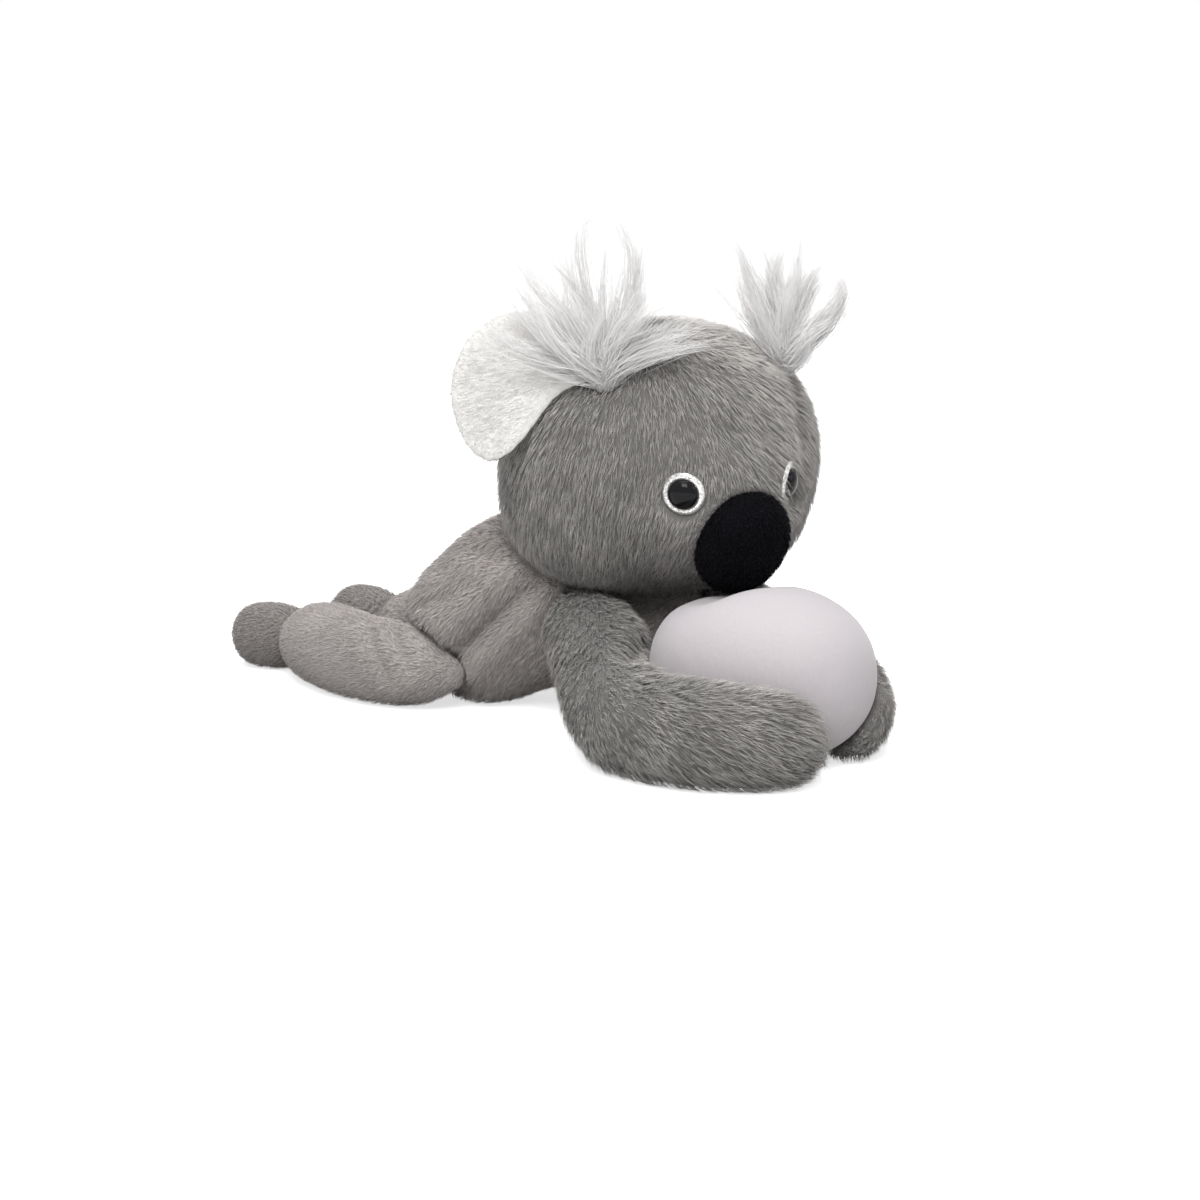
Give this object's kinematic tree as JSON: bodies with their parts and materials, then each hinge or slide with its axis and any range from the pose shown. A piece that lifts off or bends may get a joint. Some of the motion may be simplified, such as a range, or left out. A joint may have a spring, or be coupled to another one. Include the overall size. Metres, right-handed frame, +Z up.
{
  "type": "plush koala",
  "caption": "Grey plush koala lying on its front and hugging an oval cushion, with white tufted ears, turning head and swinging limbs.",
  "frame": {"origin": "on the floor, in the middle of the toy's bounding box", "axes": "+Z up, -Y the way the face looks, +X the koala's left"},
  "size_m": [0.2342, 0.373, 0.2476],
  "materials": {
    "grey_fur": "fur fabric, 6 mm pile",
    "warm_grey_fur": "fur fabric, 6 mm pile",
    "dark_grey_fur": "fur fabric, 4 mm pile",
    "white_fur": "long-pile fur fabric",
    "long_white_hair": "40 to 80 mm loose hair",
    "black_fleece": "short brushed pile",
    "black_gloss_plastic": "polished",
    "silver_glitter": "glitter under lacquer",
    "natural_plastic": "moulded",
    "white_plush": "short plush pile",
    "wadding": "loose fibre"
  },
  "bodies": {
    "torso": {"torso_skin": "warm_grey_fur", "torso_fill": "wadding", "cushion_cover": "white_plush", "cushion_fill": "wadding"},
    "head": {"head_skin": "grey_fur", "head_fill": "wadding", "nose_cover": "black_fleece", "nose_fill": "wadding", "right_eye_pupil": "black_gloss_plastic", "right_eye_ring": "silver_glitter", "right_eye_washer": "natural_plastic", "left_eye_pupil": "black_gloss_plastic", "left_eye_ring": "silver_glitter", "left_eye_washer": "natural_plastic"},
    "right_ear": {"right_ear_front": "white_fur", "right_ear_back": "grey_fur", "right_ear_tuft": "long_white_hair"},
    "right_arm": {"right_arm_skin": "grey_fur", "right_arm_fill": "wadding"},
    "right_leg": {"right_leg_skin": "warm_grey_fur", "right_leg_fill": "wadding"},
    "right_foot": {"right_foot_skin": "dark_grey_fur", "right_foot_fill": "wadding"},
    "left_ear": {"left_ear_front": "white_fur", "left_ear_back": "grey_fur", "left_ear_tuft": "long_white_hair"},
    "left_arm": {"left_arm_skin": "grey_fur", "left_arm_fill": "wadding"},
    "left_leg": {"left_leg_skin": "warm_grey_fur", "left_leg_fill": "wadding"},
    "left_foot": {"left_foot_skin": "dark_grey_fur", "left_foot_fill": "wadding"}
  },
  "joints": [
    {"name": "neck_turn", "type": "hinge", "parent": "torso", "child": "head", "pos_m": [0.02261, -0.00937, 0], "axis": [0, 0, 1], "range_deg": [-15, 15]},
    {"name": "right_shoulder_swing", "type": "hinge", "parent": "torso", "child": "right_arm", "pos_m": [-0.01639, -0.02737, 0.045], "axis": [0, 0, -1], "range_deg": [0, 45]},
    {"name": "left_shoulder_swing", "type": "hinge", "parent": "torso", "child": "left_arm", "pos_m": [0.05962, 0.00663, 0.045], "axis": [0, 0, 1], "range_deg": [0, 45]},
    {"name": "right_hip_splay", "type": "hinge", "parent": "torso", "child": "right_leg", "pos_m": [-0.06839, 0.03263, 0.0185], "axis": [0, 0, 1], "range_deg": [-5, 25]},
    {"name": "left_hip_splay", "type": "hinge", "parent": "torso", "child": "left_leg", "pos_m": [-0.01039, 0.07463, 0.0185], "axis": [0, 0, -1], "range_deg": [-5, 25]},
    {"name": "right_ankle_turn", "type": "hinge", "parent": "right_leg", "child": "right_foot", "pos_m": [-0.09338, 0.14663, 0.016], "axis": [0, 0, 1], "range_deg": [-20, 20]},
    {"name": "left_ankle_turn", "type": "hinge", "parent": "left_leg", "child": "left_foot", "pos_m": [-0.03639, 0.15463, 0.016], "axis": [0, 0, 1], "range_deg": [-20, 20]},
    {"name": "right_ear_flop", "type": "hinge", "parent": "head", "child": "right_ear", "pos_m": [-0.02238, -0.05337, 0.16645], "axis": [0.2695, 0.2106, 0.9397], "range_deg": [0, 20]},
    {"name": "left_ear_flop", "type": "hinge", "parent": "head", "child": "left_ear", "pos_m": [0.07361, -0.05337, 0.16645], "axis": [0.3125, -0.1391, -0.9397], "range_deg": [0, 20]}
  ]
}
